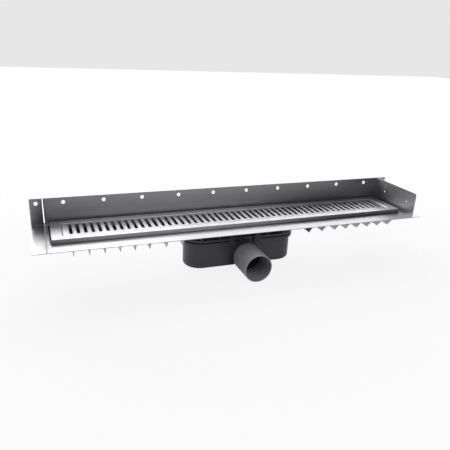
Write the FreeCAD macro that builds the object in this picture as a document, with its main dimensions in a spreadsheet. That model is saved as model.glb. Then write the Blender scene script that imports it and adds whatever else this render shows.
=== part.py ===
import FreeCAD, Part
import math
import os
import Sketcher

# Wall-mounted shower channel drain: a stainless tray with an upstand behind and at
# both ends, a raised tile frame with a slotted grate, and a water trap below.
# X runs along the channel, Y from the front edge to the wall, Z up. The origin is
# under the middle of the assembly, on the surface that the trap stands on.

SIZES = {
    # folded tray
    "sheet_gauge": 1.5,
    "tray_length": 1060,
    "tray_depth": 181,
    "wall_height": 70.5,
    "bend_radius": 2,
    "end_wall_inset": 30,
    "end_wall_corner": 8,
    "standing_height": 120,
    # holes and slits of the upstands
    "fixing_hole": 10,
    "fixing_inset": 50,
    "fixing_count": 10,
    "fixing_drop": 12.75,
    "outer_hole_inset": 15,
    "slit_width": 1.2,
    "slit_depth": 32.5,
    "slit_hole": 5,
    "slit_first": 45.5,
    "slit_pitch": 100,
    # trough pan under the tray
    "opening_gap": 3,
    "pan_end_depth": 13,
    "pan_mid_depth": 17,
    "pan_flat_length": 330,
    "outlet_length": 236,
    "outlet_width": 54,
    "neck_drop": 22.5,
    # anchor plates under the front flange
    "anchor_gauge": 1.5,
    "anchor_inset": 58.5,
    "anchor_pitch": 35.7,
    "anchor_count": 6,
    "anchor_inner_pitch": 41.5,
    "anchor_inner_count": 2,
    "anchor_front": 170,
    "anchor_tip": 149,
    "anchor_back": 120,
    "anchor_depth": 27.7,
    "short_anchor_first": 55.5,
    "short_anchor_count": 3,
    "short_anchor_tip": 163,
    "short_anchor_depth": 10.5,
    # tile frame
    "frame_end_gap": 12,
    "frame_width": 125,
    "frame_back_gap": 9,
    "frame_rise": 11.2,
    "frame_skirt": 20.2,
    "frame_gauge": 2,
    "rim_end_width": 27,
    "rim_side_width": 21,
    "rim_bend": 2.5,
    "rim_outer_bend": 1.5,
    "ledge_width": 8,
    # grate
    "grate_gauge": 3,
    "grate_sink": 0.8,
    "grate_gap": 1,
    "slot_width": 8,
    "slot_length": 63,
    "slot_inset": 19.85,
    "slot_count": 52,
    "slot_corner": 1.5,
    "pad_gauge": 1.2,
    "pad_length": 12,
    "pad_width": 5,
    "pad_inset": 61,
    "pad_count": 5,
    # levelling gear of the tile frame
    "leveller_inset": 60,
    "leveller_inner": 190,
    "leveller_reach": 9,
    "leveller_thread": 6,
    "leveller_top": 2,
    "bracket_width": 16,
    "bracket_gauge": 2,
    "bracket_drop": 4,
    "bracket_leg": 6,
    "nut_width": 10,
    "nut_gauge": 4,
    "foot_diameter": 12,
    "foot_gauge": 3,
    # trap housing
    "trap_length": 310,
    "trap_width": 90,
    "trap_wall": 3,
    "trap_bottom_radius": 9,
    "trap_foot_height": 2,
    "trap_foot_place": 85,
    "trap_foot_width": 16,
    "trap_foot_length": 60,
    "rim_overhang": 6,
    "rim_gauge": 6,
    "rim_land": 6,
    "stub_diameter": 56,
    "stub_bore": 50,
    "stub_reach": 150,
    "weir_width": 84,
    "weir_reach": 18,
    "weir_wall": 2.5,
    "weir_height": 50,
    # outlet adapter pushed over the stub
    "adapter_diameter": 75,
    "adapter_bore": 69,
    "adapter_back": 140,
    "adapter_reach": 221,
    "adapter_shoulder": 6,
    "adapter_play": 0.15,
    "adapter_chamfer": 2,
    "adapter_seal_gauge": 4,
    # clamp collar, its gaskets and screws
    "pan_gasket_gauge": 3,
    "neck_clearance": 0.5,
    "collar_neck_height": 13.5,
    "collar_neck_inset": 6,
    "collar_flange": 5,
    "collar_skirt": 2,
    "body_seal_gauge": 2,
    "groove_depth": 3.5,
    "flange_screw": 4,
    "flange_screw_head": 7,
    "flange_screw_head_height": 2.6,
    "flange_screw_length": 13,
    "flange_screw_near": 70,
    "flange_screw_turn": 10,
    "pan_screw": 4,
    "pan_screw_head": 7,
    "pan_screw_head_height": 2.2,
    "pan_screw_length": 16,
    "pan_screw_pitch": 75,
    # ribbed clips that hold the collar to the housing, and the recess between them
    "clip_place": 37,
    "clip_width": 17,
    "clip_gauge": 2,
    "clip_play": 0.3,
    "clip_rise": 6,
    "clip_drop": 5,
    "clip_hook": 6,
    "clip_low_hook": 5,
    "clip_hook_gauge": 2.2,
    "clip_rib_width": 2.4,
    "clip_rib_height": 1.6,
    "clip_rib_pitch": 6.8,
    "clip_rib_count": 3,
    "recess_width": 50,
    # removable trap insert, seal and hair strainer
    "insert_flange_gauge": 2,
    "insert_land": 2.8,
    "insert_clearance": 1.5,
    "insert_wall": 2,
    "insert_depth": 9,
    "insert_floor": 2,
    "dip_length": 170,
    "dip_width": 28,
    "dip_shift": 11,
    "dip_depth": 78,
    "insert_seal_gauge": 3,
    "strainer_gauge": 1.2,
    "strainer_gap": 1,
    "strainer_leg": 5,
    "strainer_leg_height": 2,
    "strainer_hole": 5,
    "strainer_pitch": 9,
    "strainer_rows": 5,
    "strainer_columns": 19,
    "knob_diameter": 14,
    "knob_height": 8,
    "knob_stem": 6,
    "knob_stem_height": 6,
}

PARTS_FOLDER = "parts"
SMOOTH = 1e-6

doc = FreeCAD.newDocument("channel_drain")
sheet = doc.addObject("Spreadsheet::Sheet", "Dims")
for row, (alias, number) in enumerate(SIZES.items(), start=1):
    sheet.set("A%d" % row, alias)
    sheet.set("B%d" % row, str(number))
    sheet.setAlias("B%d" % row, alias)
doc.recompute()


# ---------------------------------------------------------------- sizes


class Size:
    """A length that knows its number and the expression that keeps it bound."""

    def __init__(self, number, text):
        self.number = number
        self.text = text

    def __add__(self, other):
        other = as_size(other)
        return Size(self.number + other.number, "(%s + %s)" % (self.text, other.text))

    def __sub__(self, other):
        other = as_size(other)
        return Size(self.number - other.number, "(%s - %s)" % (self.text, other.text))

    def __mul__(self, other):
        other = as_size(other)
        return Size(self.number * other.number, "(%s * %s)" % (self.text, other.text))

    def __truediv__(self, other):
        other = as_size(other)
        return Size(self.number / other.number, "(%s / %s)" % (self.text, other.text))

    def __neg__(self):
        return Size(-self.number, "(0 - %s)" % self.text)

    def sine(self):
        """Sine of a size that holds degrees."""
        return Size(math.sin(math.radians(self.number)), "sin(%s * 1 deg)" % self.text)

    def cosine(self):
        """Cosine of a size that holds degrees."""
        return Size(math.cos(math.radians(self.number)), "cos(%s * 1 deg)" % self.text)


def as_size(value):
    """Wrap a plain number, or pass a Size through."""
    if isinstance(value, Size):
        return value
    return Size(float(value), "(%s)" % value)


def dim(alias):
    """The size in the sheet cell with this alias."""
    return Size(float(sheet.get(alias)), "Dims." + alias)


def bind(item, path, value):
    """Tie one property of an object to a Size."""
    item.setExpression(path, as_size(value).text)


# ---------------------------------------------------------------- bodies


def new_body(label):
    """An empty body that stands in the part's frame."""
    body = doc.addObject("PartDesign::Body", label)
    body.Label = label
    bind(body, "Placement.Base.y", (dim("adapter_reach") - dim("sheet_gauge")) / 2)
    bind(body, "Placement.Base.z", dim("standing_height"))
    return body


def origin_feature(body, role):
    """The origin plane or axis of a body, by its role."""
    for feature in body.Origin.OriginFeatures:
        if feature.Role == role:
            return feature
    raise ValueError(role)


def new_sketch(body, name, plane, offset):
    """A sketch on an origin plane of its body, moved along the plane's normal."""
    sketch = body.newObject("Sketcher::SketchObject", name)
    sketch.AttachmentSupport = (origin_feature(body, plane), "")
    sketch.MapMode = "FlatFace"
    bind(sketch, "AttachmentOffset.Base.z", offset)
    return sketch


def fix_point(sketch, geometry, end, x, y):
    """Hold one point of a sketch at two bound distances from the sketch's origin."""
    for kind, value in (("DistanceX", as_size(x)), ("DistanceY", as_size(y))):
        constraint = Sketcher.Constraint(kind, -1, 1, geometry, end, value.number)
        index = sketch.addConstraint(constraint)
        bind(sketch, "Constraints[%d]" % index, value)


def add_loop(sketch, corners):
    """A closed outline of straight lines through bound corners."""
    points = [(as_size(x), as_size(y)) for x, y in corners]
    first = sketch.GeometryCount
    for index, start in enumerate(points):
        end = points[(index + 1) % len(points)]
        start_point = FreeCAD.Vector(start[0].number, start[1].number, 0)
        end_point = FreeCAD.Vector(end[0].number, end[1].number, 0)
        sketch.addGeometry(Part.LineSegment(start_point, end_point), False)
    for index, point in enumerate(points):
        following = first + (index + 1) % len(points)
        sketch.addConstraint(Sketcher.Constraint("Coincident", first + index, 2, following, 1))
        fix_point(sketch, first + index, 1, *point)


def add_rectangle(sketch, x_low, x_high, y_low, y_high):
    """A rectangle between two bound x and two bound y values."""
    add_loop(sketch, [(x_low, y_low), (x_high, y_low), (x_high, y_high), (x_low, y_high)])


def add_smooth_loop(sketch, centres, radius):
    """An outline of equal arcs about its centres, anticlockwise, joined by tangents."""
    radius = as_size(radius)
    points = [(as_size(x), as_size(y)) for x, y in centres]
    spots = [FreeCAD.Vector(x.number, y.number, 0) for x, y in points]
    count = len(points)
    headings = []
    for index, spot in enumerate(spots):
        step = spots[(index + 1) % count] - spot
        headings.append(math.atan2(step.y, step.x) - math.pi / 2)
    first = sketch.GeometryCount
    for index, spot in enumerate(spots):
        circle = Part.Circle(spot, FreeCAD.Vector(0, 0, 1), radius.number)
        start_angle = headings[index - 1]
        end_angle = headings[index]
        while end_angle < start_angle:
            end_angle += 2 * math.pi
        sketch.addGeometry(Part.ArcOfCircle(circle, start_angle, end_angle), False)
        outward = FreeCAD.Vector(math.cos(end_angle), math.sin(end_angle), 0) * radius.number
        line_start = spot + outward
        line_end = spots[(index + 1) % count] + outward
        sketch.addGeometry(Part.LineSegment(line_start, line_end), False)
    for index, point in enumerate(points):
        arc = first + 2 * index
        next_arc = first + 2 * ((index + 1) % count)
        sketch.addConstraint(Sketcher.Constraint("Tangent", arc, 2, arc + 1, 1))
        sketch.addConstraint(Sketcher.Constraint("Tangent", arc + 1, 2, next_arc, 1))
        fix_point(sketch, arc, 3, *point)
        held = sketch.addConstraint(Sketcher.Constraint("Radius", arc, radius.number))
        bind(sketch, "Constraints[%d]" % held, radius)


def add_stadium(sketch, half_length, half_width):
    """A long round-ended outline about the channel's centre line."""
    reach = half_length - half_width
    add_smooth_loop(sketch, [(-reach, CENTRE_Y), (reach, CENTRE_Y)], half_width)


def add_circle(sketch, x, y, diameter):
    """A circle with a bound centre and diameter."""
    x, y, diameter = as_size(x), as_size(y), as_size(diameter)
    centre = FreeCAD.Vector(x.number, y.number, 0)
    circle = Part.Circle(centre, FreeCAD.Vector(0, 0, 1), diameter.number / 2)
    geometry = sketch.addGeometry(circle, False)
    fix_point(sketch, geometry, 3, x, y)
    held = sketch.addConstraint(Sketcher.Constraint("Diameter", geometry, diameter.number))
    bind(sketch, "Constraints[%d]" % held, diameter)


def pad(body, sketch, length):
    """Raise a sketch along its normal."""
    feature = body.newObject("PartDesign::Pad", sketch.Name + "_pad")
    feature.Profile = sketch
    bind(feature, "Length", length)
    sketch.Visibility = False
    return feature


def pocket(body, sketch, length, forward=False):
    """Cut a sketch against its normal, or along it."""
    feature = body.newObject("PartDesign::Pocket", sketch.Name + "_pocket")
    feature.Profile = sketch
    feature.Reversed = forward
    bind(feature, "Length", length)
    sketch.Visibility = False
    return feature


def pattern(body, name, originals, axis, pitch, count):
    """Repeat features in a row along an origin axis of the body."""
    feature = body.newObject("PartDesign::LinearPattern", name)
    feature.Originals = originals
    feature.Direction = (origin_feature(body, axis), [""])
    bind(feature, "Length", pitch * (count - 1))
    bind(feature, "Occurrences", count)
    body.Tip = feature
    return feature


def dress(body, kind, base, test, path, value):
    """Fillet or chamfer every edge of the base feature that passes a test."""
    doc.recompute()
    names = []
    for index, edge in enumerate(base.Shape.Edges, start=1):
        if test(edge.BoundBox):
            names.append("Edge%d" % index)
    feature = body.newObject("PartDesign::" + kind, base.Name + "_" + kind.lower())
    feature.Base = (base, names)
    bind(feature, path, value)
    return feature


def near(first, second):
    """Whether two numbers name the same place."""
    return abs(first - as_size(second).number) < SMOOTH * 1000


# ---------------------------------------------------------------- shared places

GAUGE = dim("sheet_gauge")
HALF_TRAY = dim("tray_length") / 2
HALF_WALL = HALF_TRAY - dim("end_wall_inset")
HALF_FRAME = HALF_WALL - dim("frame_end_gap")
FRAME_BACK = -dim("frame_back_gap")
FRAME_FRONT = FRAME_BACK - dim("frame_width")
FRAME_TOP = dim("frame_rise")
CENTRE_Y = (FRAME_BACK + FRAME_FRONT) / 2

# opening in the tray and inner faces of the pan below it
OPENING_HALF = HALF_FRAME + dim("opening_gap")
OPENING_BACK = FRAME_BACK + dim("opening_gap")
OPENING_FRONT = FRAME_FRONT - dim("opening_gap")
PAN_FLAT = dim("pan_flat_length") / 2
PAN_UNDER = -(dim("pan_mid_depth") + GAUGE)
OUTLET_HALF = dim("outlet_length") / 2
OUTLET_SIDE = dim("outlet_width") / 2

# levels of the trap's stack, from the pan downwards
COLLAR_TOP = PAN_UNDER - dim("pan_gasket_gauge")
FLANGE_TOP = COLLAR_TOP - dim("collar_neck_height")
FLANGE_UNDER = FLANGE_TOP - dim("collar_flange")
SKIRT_UNDER = FLANGE_UNDER - dim("collar_skirt")
RIM_TOP = SKIRT_UNDER - dim("body_seal_gauge")
RIM_UNDER = RIM_TOP - dim("rim_gauge")
FLOOR = -dim("standing_height")
TRAP_BOTTOM = FLOOR + dim("trap_foot_height")
TRAP_HALF = dim("trap_length") / 2
TRAP_SIDE = dim("trap_width") / 2
TRAP_FRONT = CENTRE_Y - TRAP_SIDE
TRAP_FRONT_INNER = TRAP_FRONT + dim("trap_wall")
RIM_FRONT = TRAP_FRONT - dim("rim_overhang")
OUTLET_LEVEL = FLOOR + dim("adapter_diameter") / 2
SEAL_GROW = dim("rim_overhang") - dim("groove_depth")

# the grate's seat in the tile frame
MOUTH_HALF = HALF_FRAME - dim("rim_end_width")
MOUTH_BACK = FRAME_BACK - dim("rim_side_width")
MOUTH_FRONT = FRAME_FRONT + dim("rim_side_width")
GRATE_TOP = FRAME_TOP - dim("grate_sink")
GRATE_UNDER = GRATE_TOP - dim("grate_gauge")
LEDGE_TOP = GRATE_UNDER - dim("pad_gauge")
SKIRT_BOTTOM = FRAME_TOP - dim("frame_skirt")


def pan_floor(x):
    """Height of the pan's sloping floor at a distance from the middle."""
    fall = dim("pan_mid_depth") - dim("pan_end_depth")
    return -(dim("pan_end_depth") + fall * (OPENING_HALF - x) / (OPENING_HALF - PAN_FLAT))


# ---------------------------------------------------------------- tray


def make_tray_body():
    """Base flange and rear upstand, folded from one sheet, with its holes."""
    body = new_body("tray_body")
    depth = -dim("tray_depth")
    profile = new_sketch(body, "tray_profile", "YZ_Plane", -HALF_TRAY)
    add_loop(profile, [
        (depth, -GAUGE),
        (GAUGE, -GAUGE),
        (GAUGE, dim("wall_height")),
        (0, dim("wall_height")),
        (0, 0),
        (depth, 0),
    ])
    fold = pad(body, profile, dim("tray_length"))
    inner = dress(
        body, "Fillet", fold,
        lambda box: near(box.YMin, 0) and near(box.YMax, 0) and near(box.ZMax, 0)
        and near(box.ZMin, 0) and box.XLength > 1,
        "Radius", dim("bend_radius"))
    outer = dress(
        body, "Fillet", inner,
        lambda box: near(box.YMin, GAUGE) and near(box.ZMax, -GAUGE) and box.XLength > 1,
        "Radius", dim("bend_radius") + GAUGE)
    opening = new_sketch(body, "tray_opening", "XY_Plane", 0)
    add_rectangle(opening, -OPENING_HALF, OPENING_HALF, OPENING_FRONT, OPENING_BACK)
    pocket(body, opening, GAUGE)

    hole_level = dim("wall_height") - dim("fixing_drop")
    first_hole = new_sketch(body, "fixing_hole_sketch", "XZ_Plane", 0)
    row_end = HALF_WALL - dim("fixing_inset")
    add_circle(first_hole, -row_end, hole_level, dim("fixing_hole"))
    hole = pocket(body, first_hole, GAUGE)
    fixing_pitch = row_end * 2 / (dim("fixing_count") - 1)
    pattern(body, "fixing_row", [hole], "X_Axis", fixing_pitch, dim("fixing_count"))

    outer_holes = new_sketch(body, "outer_holes", "XZ_Plane", 0)
    outer_x = HALF_TRAY - dim("outer_hole_inset")
    for x in (-outer_x, outer_x):
        add_circle(outer_holes, x, hole_level, dim("fixing_hole"))
    pocket(body, outer_holes, GAUGE)
    return body


def make_end_wall(label, inner_side):
    """One upright end plate with two slits that end in relief holes."""
    body = new_body(label)
    start = -HALF_WALL if inner_side > 0 else HALF_WALL - GAUGE
    outline = new_sketch(body, label + "_outline", "YZ_Plane", start)
    add_rectangle(outline, -dim("tray_depth"), 0, 0, dim("wall_height"))
    plate = pad(body, outline, GAUGE)
    corner = dress(
        body, "Fillet", plate,
        lambda box: near(box.YMax, -dim("tray_depth")) and near(box.ZMin, dim("wall_height")),
        "Radius", dim("end_wall_corner"))
    dress(
        body, "Fillet", corner,
        lambda box: near(box.YMin, 0) and near(box.ZMax, 0),
        "Radius", dim("bend_radius"))
    slit_y = -dim("slit_first")
    slit_end = dim("wall_height") - dim("slit_depth")
    slit_sketch = new_sketch(body, label + "_slit", "YZ_Plane", start)
    add_rectangle(
        slit_sketch, slit_y - dim("slit_width") / 2, slit_y + dim("slit_width") / 2,
        slit_end, dim("wall_height"))
    slit = pocket(body, slit_sketch, GAUGE, forward=True)
    relief_sketch = new_sketch(body, label + "_relief", "YZ_Plane", start)
    add_circle(relief_sketch, slit_y, slit_end, dim("slit_hole"))
    relief = pocket(body, relief_sketch, GAUGE, forward=True)
    row = pattern(body, label + "_slits", [slit, relief], "Y_Axis", dim("slit_pitch"), as_size(2))
    row.Reversed = True
    return body


def make_trough_pan():
    """Folded pan welded under the tray, falling from both ends to its outlet."""
    body = new_body("trough_pan")

    def section(half, top, drop):
        end_level = -(dim("pan_end_depth") + drop)
        mid_level = -(dim("pan_mid_depth") + drop)
        return [
            (-half, top), (-half, end_level), (-PAN_FLAT, mid_level),
            (PAN_FLAT, mid_level), (half, end_level), (half, top),
        ]

    outer = new_sketch(body, "pan_outer", "XZ_Plane", -(OPENING_BACK + GAUGE))
    add_loop(outer, section(OPENING_HALF + GAUGE, -GAUGE, GAUGE))
    pad(body, outer, OPENING_BACK - OPENING_FRONT + GAUGE * 2)
    inner = new_sketch(body, "pan_inner", "XZ_Plane", -OPENING_BACK)
    add_loop(inner, section(OPENING_HALF, 0, 0))
    pocket(body, inner, OPENING_BACK - OPENING_FRONT, forward=True)
    outlet = new_sketch(body, "pan_outlet", "XY_Plane", 0)
    add_stadium(outlet, OUTLET_HALF, OUTLET_SIDE)
    pocket(body, outlet, dim("standing_height"))
    holes = new_sketch(body, "pan_screw_holes", "XY_Plane", 0)
    for x, y in pan_screw_places():
        add_circle(holes, x, y, dim("pan_screw"))
    pocket(body, holes, dim("standing_height"))
    return body


def make_outlet_neck():
    """Welded collar that leads the water down through the gasket."""
    body = new_body("outlet_neck")
    ring = new_sketch(body, "neck_ring", "XY_Plane", PAN_UNDER - dim("neck_drop"))
    add_stadium(ring, OUTLET_HALF + GAUGE, OUTLET_SIDE + GAUGE)
    add_stadium(ring, OUTLET_HALF, OUTLET_SIDE)
    pad(body, ring, dim("neck_drop"))
    return body


def make_anchor_plates():
    """Thin pointed plates under the front flange that key into the mortar."""
    body = new_body("anchor_plates")
    front = OPENING_FRONT - GAUGE
    outer_start = HALF_WALL - dim("anchor_inset")
    inner_start = outer_start - dim("anchor_pitch") * (dim("anchor_count") - 1)
    inner_start = inner_start - dim("anchor_inner_pitch")
    outline = [
        (-dim("anchor_front"), -GAUGE),
        (-dim("anchor_tip"), -dim("anchor_depth")),
        (-dim("anchor_back"), -dim("anchor_depth") + dim("anchor_gauge") / 2),
        (-dim("anchor_back"), PAN_UNDER),
        (front, PAN_UNDER),
        (front, -GAUGE),
    ]
    short_outline = [
        (-dim("anchor_front"), -GAUGE),
        (-dim("short_anchor_tip"), -dim("short_anchor_depth")),
        (front, -dim("short_anchor_depth")),
        (front, -GAUGE),
    ]
    inner_pitch = dim("anchor_inner_pitch")
    short_count = dim("short_anchor_count")
    short_start = dim("short_anchor_first") + inner_pitch * (short_count - 1)
    rows = (
        ("outer", outline, outer_start, dim("anchor_pitch"), dim("anchor_count")),
        ("inner", outline, inner_start, inner_pitch, dim("anchor_inner_count")),
        ("short", short_outline, short_start, inner_pitch, short_count),
    )
    for side_name, side in (("left", -1), ("right", 1)):
        for row_name, corners, start, pitch, count in rows:
            name = "anchor_%s_%s" % (side_name, row_name)
            place = start * side - dim("anchor_gauge") / 2
            sketch = new_sketch(body, name, "YZ_Plane", place)
            add_loop(sketch, corners)
            plate = pad(body, sketch, dim("anchor_gauge"))
            row = pattern(body, name + "_row", [plate], "X_Axis", pitch, count)
            row.Reversed = side > 0
    return body


# ---------------------------------------------------------------- frame and grate


def make_tile_frame():
    """Raised frame: flat rim, outer skirt, inner wall and ledge for the grate."""
    body = new_body("tile_frame")
    gauge = dim("frame_gauge")
    rim = new_sketch(body, "rim", "XY_Plane", FRAME_TOP - gauge)
    add_rectangle(rim, -HALF_FRAME, HALF_FRAME, FRAME_FRONT, FRAME_BACK)
    add_rectangle(rim, -MOUTH_HALF, MOUTH_HALF, MOUTH_FRONT, MOUTH_BACK)
    pad(body, rim, gauge)
    skirt = new_sketch(body, "skirt", "XY_Plane", SKIRT_BOTTOM)
    add_rectangle(skirt, -HALF_FRAME, HALF_FRAME, FRAME_FRONT, FRAME_BACK)
    add_rectangle(
        skirt, gauge - HALF_FRAME, HALF_FRAME - gauge, FRAME_FRONT + gauge, FRAME_BACK - gauge)
    pad(body, skirt, dim("frame_skirt") - gauge)
    wall = new_sketch(body, "seat_wall", "XY_Plane", LEDGE_TOP - gauge)
    add_rectangle(
        wall, -(MOUTH_HALF + gauge), MOUTH_HALF + gauge, MOUTH_FRONT - gauge, MOUTH_BACK + gauge)
    add_rectangle(wall, -MOUTH_HALF, MOUTH_HALF, MOUTH_FRONT, MOUTH_BACK)
    pad(body, wall, FRAME_TOP - LEDGE_TOP)
    ledge = new_sketch(body, "ledge", "XY_Plane", LEDGE_TOP - gauge)
    reach = dim("ledge_width")
    add_rectangle(
        ledge, -(MOUTH_HALF + gauge), MOUTH_HALF + gauge, MOUTH_FRONT - gauge, MOUTH_BACK + gauge)
    add_rectangle(
        ledge, reach - MOUTH_HALF, MOUTH_HALF - reach, MOUTH_FRONT + reach, MOUTH_BACK - reach)
    seat = pad(body, ledge, gauge)
    inner = dress(
        body, "Fillet", seat,
        lambda box: near(box.ZMin, FRAME_TOP) and box.XMax < HALF_FRAME.number - 1
        and box.XMin > 1 - HALF_FRAME.number,
        "Radius", dim("rim_bend"))
    dress(
        body, "Fillet", inner,
        lambda box: near(box.ZMin, FRAME_TOP)
        and (near(box.YMax, FRAME_FRONT) or near(box.YMin, FRAME_BACK)
             or near(box.XMax, -HALF_FRAME) or near(box.XMin, HALF_FRAME)),
        "Radius", dim("rim_outer_bend"))
    return body


def make_grate():
    """Flat slotted cover that lifts out of the frame."""
    body = new_body("grate")
    gap = dim("grate_gap")
    plate = new_sketch(body, "grate_plate", "XY_Plane", GRATE_UNDER)
    add_rectangle(plate, gap - MOUTH_HALF, MOUTH_HALF - gap, MOUTH_FRONT + gap, MOUTH_BACK - gap)
    pad(body, plate, dim("grate_gauge"))
    slot = new_sketch(body, "first_slot", "XY_Plane", GRATE_TOP)
    first = dim("slot_inset") - MOUTH_HALF
    pitch = -first * 2 / (dim("slot_count") - 1)
    across = dim("slot_width") / 2 - dim("slot_corner")
    along = dim("slot_length") / 2 - dim("slot_corner")
    add_smooth_loop(slot, [
        (first - across, CENTRE_Y - along),
        (first + across, CENTRE_Y - along),
        (first + across, CENTRE_Y + along),
        (first - across, CENTRE_Y + along),
    ], dim("slot_corner"))
    cut = pocket(body, slot, dim("grate_gauge"))
    pattern(body, "slot_row", [cut], "X_Axis", pitch, dim("slot_count"))
    return body


def make_grate_pads():
    """Rubber pads on the ledge that keep the grate from rattling."""
    body = new_body("grate_pads")
    first = dim("pad_inset") - MOUTH_HALF
    pitch = -first * 2 / (dim("pad_count") - 1)
    for name, edge, inward in (("front", MOUTH_FRONT, 1), ("back", MOUTH_BACK, -1)):
        middle = edge + dim("ledge_width") * inward / 2
        sketch = new_sketch(body, name + "_pad", "XY_Plane", LEDGE_TOP)
        add_rectangle(
            sketch, first - dim("pad_length") / 2, first + dim("pad_length") / 2,
            middle - dim("pad_width") / 2, middle + dim("pad_width") / 2)
        block = pad(body, sketch, dim("pad_gauge"))
        pattern(body, name + "_pads", [block], "X_Axis", pitch, dim("pad_count"))
    return body


# ---------------------------------------------------------------- levelling gear

BRACKET_TOP = -dim("bracket_drop")
BRACKET_UNDER = BRACKET_TOP - dim("bracket_gauge")
NUT_UNDER = BRACKET_UNDER - dim("nut_gauge")
LEVELLER_STATIONS = (
    ("outer", HALF_FRAME - dim("leveller_inset")),
    ("inner", dim("leveller_inner")),
)


def leveller_rows():
    """Skirt face and inward direction of the front and the rear row."""
    gauge = dim("frame_gauge")
    return ((FRAME_FRONT + gauge, 1), (FRAME_BACK - gauge, -1))


def leveller_places(station):
    """The four screw centres at one distance from the middle."""
    places = []
    for face, inward in leveller_rows():
        for side in (-1, 1):
            places.append((station * side, face + dim("leveller_reach") * inward))
    return places


def foot_floor(station):
    """Level on which a foot stands, at its uphill edge."""
    return pan_floor(station + dim("foot_diameter") / 2)


def make_frame_brackets():
    """Small angle tabs welded inside the skirt, tapped for the levelling screws."""
    body = new_body("frame_brackets")
    half = dim("bracket_width") / 2
    tabs = new_sketch(body, "bracket_tabs", "XY_Plane", BRACKET_UNDER)
    legs = new_sketch(body, "bracket_legs", "XY_Plane", BRACKET_TOP)
    holes = new_sketch(body, "bracket_holes", "XY_Plane", BRACKET_TOP)
    for name, station in LEVELLER_STATIONS:
        for face, inward in leveller_rows():
            for side in (-1, 1):
                x = station * side
                tab_edge = face + dim("bracket_width") * inward
                leg_edge = face + dim("bracket_gauge") * inward
                low, high = (face, tab_edge) if inward > 0 else (tab_edge, face)
                add_rectangle(tabs, x - half, x + half, low, high)
                low, high = (face, leg_edge) if inward > 0 else (leg_edge, face)
                add_rectangle(legs, x - half, x + half, low, high)
        for x, y in leveller_places(station):
            add_circle(holes, x, y, dim("leveller_thread"))
    pad(body, tabs, dim("bracket_gauge"))
    pad(body, legs, dim("bracket_leg"))
    pocket(body, holes, dim("bracket_gauge"))
    return body


def make_levelling_screws():
    """Threaded studs that set the frame's height above the pan."""
    body = new_body("levelling_screws")
    for name, station in LEVELLER_STATIONS:
        bottom = foot_floor(station) + dim("foot_gauge") / 2
        studs = new_sketch(body, name + "_studs", "XY_Plane", bottom)
        for x, y in leveller_places(station):
            add_circle(studs, x, y, dim("leveller_thread"))
        pad(body, studs, dim("leveller_top") - bottom)
    return body


def make_lock_nuts():
    """Hexagon nuts that lock the studs under the brackets."""
    body = new_body("lock_nuts")
    nuts = new_sketch(body, "nut_outlines", "XY_Plane", NUT_UNDER)
    corner_radius = dim("nut_width") / (2 * math.cos(math.pi / 6))
    for name, station in LEVELLER_STATIONS:
        for x, y in leveller_places(station):
            corners = []
            for step in range(6):
                angle = math.radians(60 * step)
                corners.append((
                    x + corner_radius * round(math.cos(angle), 9),
                    y + corner_radius * round(math.sin(angle), 9)))
            add_loop(nuts, corners)
            add_circle(nuts, x, y, dim("leveller_thread"))
    pad(body, nuts, dim("nut_gauge"))
    return body


def make_screw_feet():
    """Rubber feet between the studs and the pan."""
    body = new_body("screw_feet")
    for name, station in LEVELLER_STATIONS:
        level = foot_floor(station)
        feet = new_sketch(body, name + "_feet", "XY_Plane", level)
        for x, y in leveller_places(station):
            add_circle(feet, x, y, dim("foot_diameter"))
        pad(body, feet, dim("foot_gauge"))
        sockets = new_sketch(body, name + "_sockets", "XY_Plane", level + dim("foot_gauge"))
        for x, y in leveller_places(station):
            add_circle(sockets, x, y, dim("leveller_thread"))
        pocket(body, sockets, dim("foot_gauge") / 2)
    return body


# ---------------------------------------------------------------- clamp collar


def pan_screw_places():
    """Centres of the screws that hold the pan to the collar."""
    neck_outer = OUTLET_SIDE + GAUGE
    side = (neck_outer + TRAP_SIDE - dim("collar_neck_inset")) / 2
    end = (OUTLET_HALF + GAUGE + TRAP_HALF - dim("collar_neck_inset")) / 2
    pitch = dim("pan_screw_pitch")
    places = [(-end, CENTRE_Y), (end, CENTRE_Y)]
    for y in (CENTRE_Y - side, CENTRE_Y + side):
        places += [(-pitch, y), (as_size(0), y), (pitch, y)]
    return places


def flange_screw_places():
    """Centres of the screws that hold the collar to the housing."""
    inset = (SEAL_GROW - dim("rim_land")) / 2
    side = TRAP_SIDE + inset
    near_x = dim("flange_screw_near")
    bend = TRAP_HALF - TRAP_SIDE
    turn = dim("flange_screw_turn")
    far_x = bend + side * turn.sine()
    far_side = side * turn.cosine()
    places = [(-(TRAP_HALF + inset), CENTRE_Y), (TRAP_HALF + inset, CENTRE_Y)]
    for facing in (-1, 1):
        for x in (-near_x, near_x):
            places.append((x, CENTRE_Y + side * facing))
        for x in (-far_x, far_x):
            places.append((x, CENTRE_Y + far_side * facing))
    return places


def cut_recess(body, name, top, height):
    """Shallow recess in the front edge of the collar or the housing's rim."""
    recess = new_sketch(body, name, "XY_Plane", top)
    half = dim("recess_width") / 2
    depth = dim("groove_depth")
    add_rectangle(recess, -half, half, RIM_FRONT - depth, RIM_FRONT + depth)
    pocket(body, recess, height)


def make_pan_gasket():
    """Flat gasket between the pan and the collar."""
    body = new_body("pan_gasket")
    ring = new_sketch(body, "gasket_ring", "XY_Plane", COLLAR_TOP)
    inset = dim("collar_neck_inset")
    hole = GAUGE + dim("neck_clearance")
    add_stadium(ring, TRAP_HALF - inset, TRAP_SIDE - inset)
    add_stadium(ring, OUTLET_HALF + hole, OUTLET_SIDE + hole)
    for x, y in pan_screw_places():
        add_circle(ring, x, y, dim("pan_screw"))
    pad(body, ring, dim("pan_gasket_gauge"))
    return body


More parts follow.
